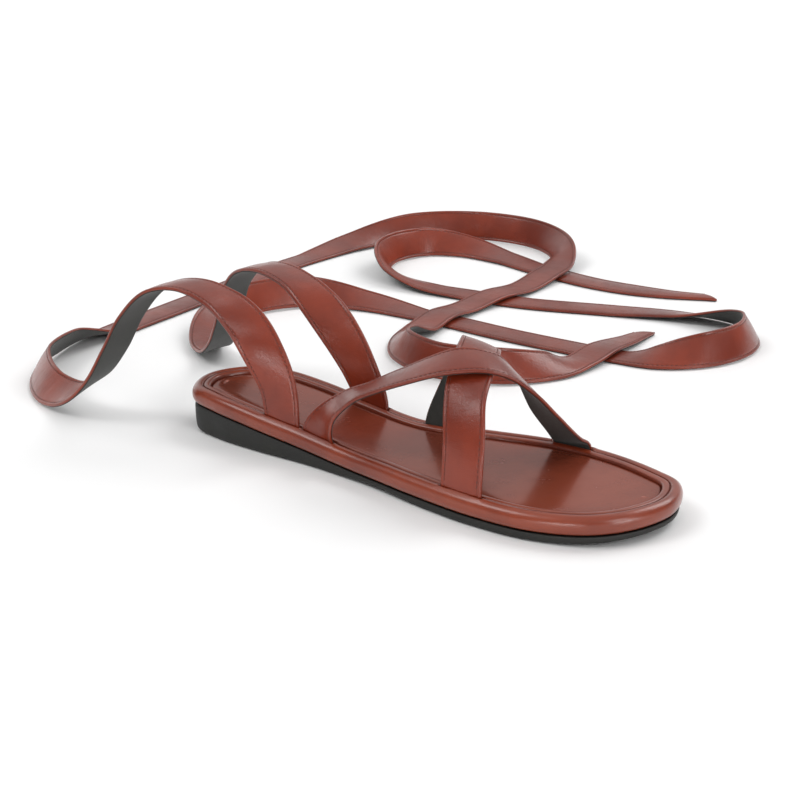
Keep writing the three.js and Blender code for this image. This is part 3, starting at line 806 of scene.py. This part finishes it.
# Platform rim: rounded bead, stitched groove, flat strip, wall down to the footbed
rim = {
    "profile": [  # inset, height over the underside
        (9.4, 5.2), (9.4, 6.4), (9.35, 7.4), (9.05, 8.2), (8.4, 8.62), (7.4, 8.78), (6.6, 8.66),
        (6.15, 8.4), (5.9, 7.95), (5.7, 7.75), (5.5, 7.95), (5.2, 8.5), (4.2, 9.0), (3.0, 8.92),
        (1.9, 8.4), (0.95, 7.5), (0.3, 6.2), (0.02, 4.6), (0.15, 3.0), (0.7, 1.6), (1.6, 0.55),
        (2.8, 0.08), (4.5, 0.0),
    ],
    "rowsPerSpan": 4,
    "topFrom": 6.0,            # heights over this are the rim's top
    "ripple": 0.06,
    "slotFrom": 6.2,           # only what is higher goes down into a slot
    "slotReach": (0.65, 1.62),  # a slot's end past the strap's edge, its side off the middle line
    "slotRun": (0.45, 0.3),    # the run of its walls that way
    "lip": 0.3,                # leather raised round a strap, and how far it reaches
    "lipReach": (3.0, 3.3),
    "lipRun": (2.6, 1.8),
    "lowerEdge": (1.6, 1.4),   # painted shade at the rim's foot and down its inner wall: where it starts, and its run
    "innerEdge": (8.6, 0.8),
    "grooveInset": 5.7,
    "grooveHeight": 7.75,
    "grooveTone": 0.55,
    "stitchPitch": 3.0,
    "stitchLength": 1.9,
    "stitchRadius": 0.26,
    "stitchLift": 0.12,        # over the groove's floor
    "stitchClear": 12.0,       # from a slot's middle to the nearest stitch
}
ripples = {
    "long": (17.0, 13.0),      # wavelengths along x and y, over 2 pi
    "short": (7.3, 9.1),
    "phase": 1.3,
    "shortShare": 0.6,
}
slots = []
for spec in straps.values():
    for spot, width in zip((spec["from"], spec["to"]), spec["width"]):
        if spot:
            slots.append({**anchor(*spot), "halfWide": width / 2})


def softRectangle(a, b, halfWide, reach, run):
    # the product of two soft steps, over the distances a and b from a slot's middle
    return smooth((halfWide + reach[0] - a) / run[0]) * smooth((reach[1] - b) / run[1])


def cutSlots(points):
    # Pushes the rim down in each slot's rectangle, and raises a soft lip in a wider one round it:
    # lip x rise x (1 - drop) - depth x drop
    flatPoints = points.reshape(-1, 3)
    near = flatPoints[:, 2] > platformHeight(flatPoints[:, 0]) + rim["slotFrom"]
    drop = np.zeros(len(flatPoints))
    rise = np.zeros(len(flatPoints))
    for slot in slots:
        rel = flatPoints - slot["foot"]
        outX, outY = slot["out"][:2]
        a = np.abs(rel[:, 1] * outX - rel[:, 0] * outY)
        b = np.abs(rel[:, 0] * outX + rel[:, 1] * outY)
        wide = slot["halfWide"]
        drop = np.maximum(drop, softRectangle(a, b, wide, rim["slotReach"], rim["slotRun"]))
        rise = np.maximum(rise, softRectangle(a, b, wide, rim["lipReach"], rim["lipRun"]))
    change = rim["lip"] * rise * (1 - drop) - (shoe["slotDepth"] - shoe["gap"]) * drop
    flatPoints[:, 2] += np.where(near, change, 0.0)
    return flatPoints.reshape(points.shape)


def ripple(x, y, size):
    # A few long waves, so that the highlights aren't ruled lines:
    # size x (sin(x + phase) cos(y) + share x sin(x + y)), each of x and y over its own length
    (longX, longY), (shortX, shortY) = ripples["long"], ripples["short"]
    longWave = np.sin(x / longX + ripples["phase"]) * np.cos(y / longY)
    return size * (longWave + ripples["shortShare"] * np.sin(x / shortX + y / shortY))


rimProfile = refine(np.array(rim["profile"]), rim["rowsPerSpan"])
rimPoints = outlineRings(rimProfile, lambda x, h: platformHeight(x) + h)
onTop = rimProfile[:, 1] > rim["topFrom"]
rimPoints[..., 2] += ripple(rimPoints[..., 0], rimPoints[..., 1], rim["ripple"]) * onTop[:, None]
rimPoints = cutSlots(rimPoints)
rows, columns = rimPoints.shape[:2]
rimFaces = np.vstack([ringFaces(rows, columns), ladderCap(0, False),
                      ladderCap((rows - 1) * columns, True)])
inset, height = rimProfile.T
lowerStart, lowerRun = rim["lowerEdge"]
innerStart, innerRun = rim["innerEdge"]
# painted shade: darker at the rim's foot against the outsole, and down its inner wall to the footbed
rimEdgeShade = np.maximum(smooth((lowerStart - height) / lowerRun), smooth((inset - innerStart) / innerRun))
# groove tone: the stitch line's dark tone with painted shade in the groove
rimSeam = np.exp(-((inset - rim["grooveInset"]) / rim["grooveTone"]) ** 2) * onTop
rimPiece = newPiece("rim", rimPoints, rimFaces,
                    {"edge": np.repeat(rimEdgeShade, columns), "seam": np.repeat(rimSeam, columns)},
                    recalculate=True)
finishPiece(rimPiece, rimLeather, ["midsole"])

# Rim stitches in the groove, left out where a strap goes in
line = closeUp(outline - rim["grooveInset"] * outward)
lineRun = runLength(line)
spots = np.arange(0, lineRun[-1] - rim["stitchPitch"] / 2, rim["stitchPitch"])
xy = readAt(spots, lineRun, line)
level = np.zeros((len(spots), 1))
along = unit(np.hstack([readAt(spots, lineRun, closeUp(outlineTangent)), level]))
groove = platformHeight(xy[:, :1]) + rim["grooveHeight"]
centres = np.hstack([xy, groove + rim["stitchLift"]])
clear = np.ones(len(spots), bool)
for slot in slots:
    clear &= np.linalg.norm(xy - slot["foot"][:2], axis=1) > rim["stitchClear"]
upward = np.hstack([level, level, level + 1])
finishPiece(stitchPiece("rim_stitches", centres[clear], along[clear], upward[clear],
                        rim["stitchLength"], rim["stitchRadius"]), waxedThread)
print("rim made")

# Footbed: leather over a thin pad, dished under the heel and the ball, with a rolled edge
footbed = {
    "profile": [  # inset, height over the platform's underside
        (15.4, 5.5), (9.7, 5.5), (9.68, 6.0), (9.7, 6.5), (9.95, 6.9), (10.6, 7.16),
        (12.2, 7.27), (15.4, 7.3),
    ],
    "acrossSteps": 60,
    "dishes": [  # x of the middle, reach along, reach across, depth
        (42, 30, 17, 0.55), (188, 32, 26, 0.33),
    ],
    "ripple": 0.05,
    "edgeFrom": 13.5,      # painted shade on the rolled edge under the rim's wall: inset where it starts, and its run
    "edgeRun": 4.0,
}


def footbedDish(x, y):
    # shallow bowls: - depth x exp(-((x - middle) / reach)^2 - (y / reach across)^2)
    return -sum(depth * np.exp(-((x - middle) / reach) ** 2 - (y / across) ** 2)
                for middle, reach, across, depth in footbed["dishes"])


bedProfile = np.array(footbed["profile"])
bedRings = outlineRings(bedProfile, lambda x, h: platformHeight(x) + h)
rows, columns = bedRings.shape[:2]
share = np.linspace(0, 1, footbed["acrossSteps"] + 1)[1:-1]  # of the way across the top
lateralEdge, medialEdge = bedRings[-1][lateralColumns], bedRings[-1][medialColumns]
inner = lateralEdge + (medialEdge - lateralEdge) * share[:, None, None]
innerX, innerY = inner[..., 0], inner[..., 1]
fade = np.sin(math.pi * share)[:, None] ** 0.5  # nothing at the rolled edge
relief = footbedDish(innerX, innerY) + ripple(innerX, innerY, footbed["ripple"])
inner[..., 2] = platformHeight(innerX) + bedProfile[-1, 1] + relief * fade
bedPoints = np.vstack([bedRings.reshape(-1, 3), inner.reshape(-1, 3)])
first = rows * columns
grid = np.vstack([first - columns + lateralColumns,
                  first + np.arange(inner.shape[0])[:, None] * (half + 1) + np.arange(half + 1),
                  first - columns + medialColumns])
bedTop = np.stack([grid[:-1, :-1], grid[1:, :-1], grid[1:, 1:], grid[:-1, 1:]], axis=-1)
bedFaces = np.vstack([ringFaces(rows, columns), bedTop.reshape(-1, 4), ladderCap(0, False)])
# painted shade: darker on the rolled edge, where it meets the rim's wall
rolled = smooth((footbed["edgeFrom"] - bedProfile[:, 0]) / footbed["edgeRun"])
bedEdgeShade = np.concatenate([np.repeat(rolled, columns), np.zeros(inner[..., 0].size)])
bedPiece = newPiece("footbed", bedPoints, bedFaces, {"edge": bedEdgeShade, "seam": bedEdgeShade * 0},
                    merge=True, recalculate=True)
finishPiece(bedPiece, footbedLeather, ["insole"])
print("footbed made")

# Outsole: a rubber wedge, rounded at its lower and upper edges
outsole = {
    "profile": [  # inset, share of the thickness
        (6.0, 0.0), (4.2, 0.0), (3.2, 0.012), (2.5, 0.05), (1.9, 0.13), (1.55, 0.26), (1.35, 0.45),
        (1.25, 0.65), (1.22, 0.8), (1.25, 0.9), (1.35, 0.965), (1.6, 1.0), (4.0, 1.0),
    ],
    "rowsPerSpan": 3,
}
soleProfile = refine(np.array(outsole["profile"]), outsole["rowsPerSpan"])
soleProfile[:, 1] = np.clip(soleProfile[:, 1], 0, 1)
solePoints = outlineRings(
    soleProfile, lambda x, share: treadHeight(x) * (1 - share) + seatHeight(x) * share)
rows, columns = solePoints.shape[:2]
soleFaces = np.vstack([ringFaces(rows, columns), ladderCap(0, False),
                       ladderCap((rows - 1) * columns, True)])
finishPiece(newPiece("wedge_sole", solePoints, soleFaces, recalculate=True),
            blackRubber, ["outsole"])
print("outsole made")


# Floor and lights
def newLamp(name, towards, strength, angle):
    # A far lamp: towards is the way from the shoe to it, angle its width as seen from the shoe
    data = bpy.data.lights.new(name, "SUN")
    data.energy = strength
    data.angle = math.radians(angle)
    lamp = bpy.data.objects.new(name, data)
    lamp.rotation_euler = Vector(towards).to_track_quat("Z", "Y").to_euler()
    bpy.context.collection.objects.link(lamp)


studio = {
    "floorReach": 30.0,        # metres, as is the next
    "floorDepth": 0.0002,      # below the shoe's tread
    "floorColour": (0.92, 0.92, 0.92, 1.0),
    "floorRough": 0.7,
    "floorSpecular": 0.1,
    "worldBase": 0.16,
    "sky": {  # heights of a direction where each starts and is full, brightness
        "overhead": (0.2, 0.75, 0.52),
        "horizon": (0.2, 0.02, 0.6),
    },
    "softboxes": {  # the way to each, cosines where it starts and is full, brightness
        "wall": ((-0.53, 0.77, 0.35), 0.45, 0.95, 0.28),
        "front": ((0.2, -0.97, 0.0), 0.955, 0.99, 7.0),
        "side": ((-0.93, 0.25, 0.25), 0.88, 0.98, 0.6),
        "right": ((0.93, -0.2, 0.0), 0.955, 0.99, 8.0),
    },
    "lamps": {  # the way to each, strength, its width in degrees
        "back": ((0.3, 0.75, 0.8), 1.02, 34),
        "left": ((-0.6, -0.6, 1.0), 0.75, 26),
        "right": ((0.95, -0.35, 0.55), 0.5, 22),
    },
}
floorMesh = bpy.data.meshes.new("floor")
reach, depth = studio["floorReach"], studio["floorDepth"]
floorMesh.from_pydata([(-reach, -reach, -depth), (reach, -reach, -depth),
                       (reach, reach, -depth), (-reach, reach, -depth)], [], [(0, 1, 2, 3)])
floor = bpy.data.objects.new("floor", floorMesh)
bpy.context.collection.objects.link(floor)
floorMaterial, floorTree, floorShader = newMaterial("paleFloor")
floorShader.inputs["Base Color"].default_value = studio["floorColour"]
floorShader.inputs["Roughness"].default_value = studio["floorRough"]
floorShader.inputs["Specular IOR Level"].default_value = studio["floorSpecular"]
floorMesh.materials.append(floorMaterial)

# The studio around it: base + each glow's brightness x a soft step, of a direction's height for
# ceiling and horizon, and of the cosine to its own way for a softbox
world = bpy.data.worlds.new("studio")
world.use_nodes = True
worldTree = world.node_tree
around = node(worldTree, "TexCoord").outputs["Generated"]
skyHeight = node(worldTree, "SeparateXYZ", i0=around).outputs["Z"]
glows = [(ramp(worldTree, skyHeight, start, full), gain)
         for start, full, gain in studio["sky"].values()]
for way, start, full, gain in studio["softboxes"].values():
    cosine = node(worldTree, "VectorMath", {"operation": "DOT_PRODUCT"}, i0=around,
                  i1=tuple(unit(np.array(way)))).outputs["Value"]
    glows.append((ramp(worldTree, cosine, start, full), gain))
background = worldTree.nodes["Background"]
background.inputs["Color"].default_value = (1.0, 1.0, 1.0, 1.0)
plug(worldTree, background.inputs["Strength"], layered(worldTree, glows, studio["worldBase"]))
bpy.context.scene.world = world
bpy.context.scene.view_settings.view_transform = "Standard"
for name, (towards, strength, angle) in studio["lamps"].items():
    newLamp(name, towards, strength, angle)
print("stage set")
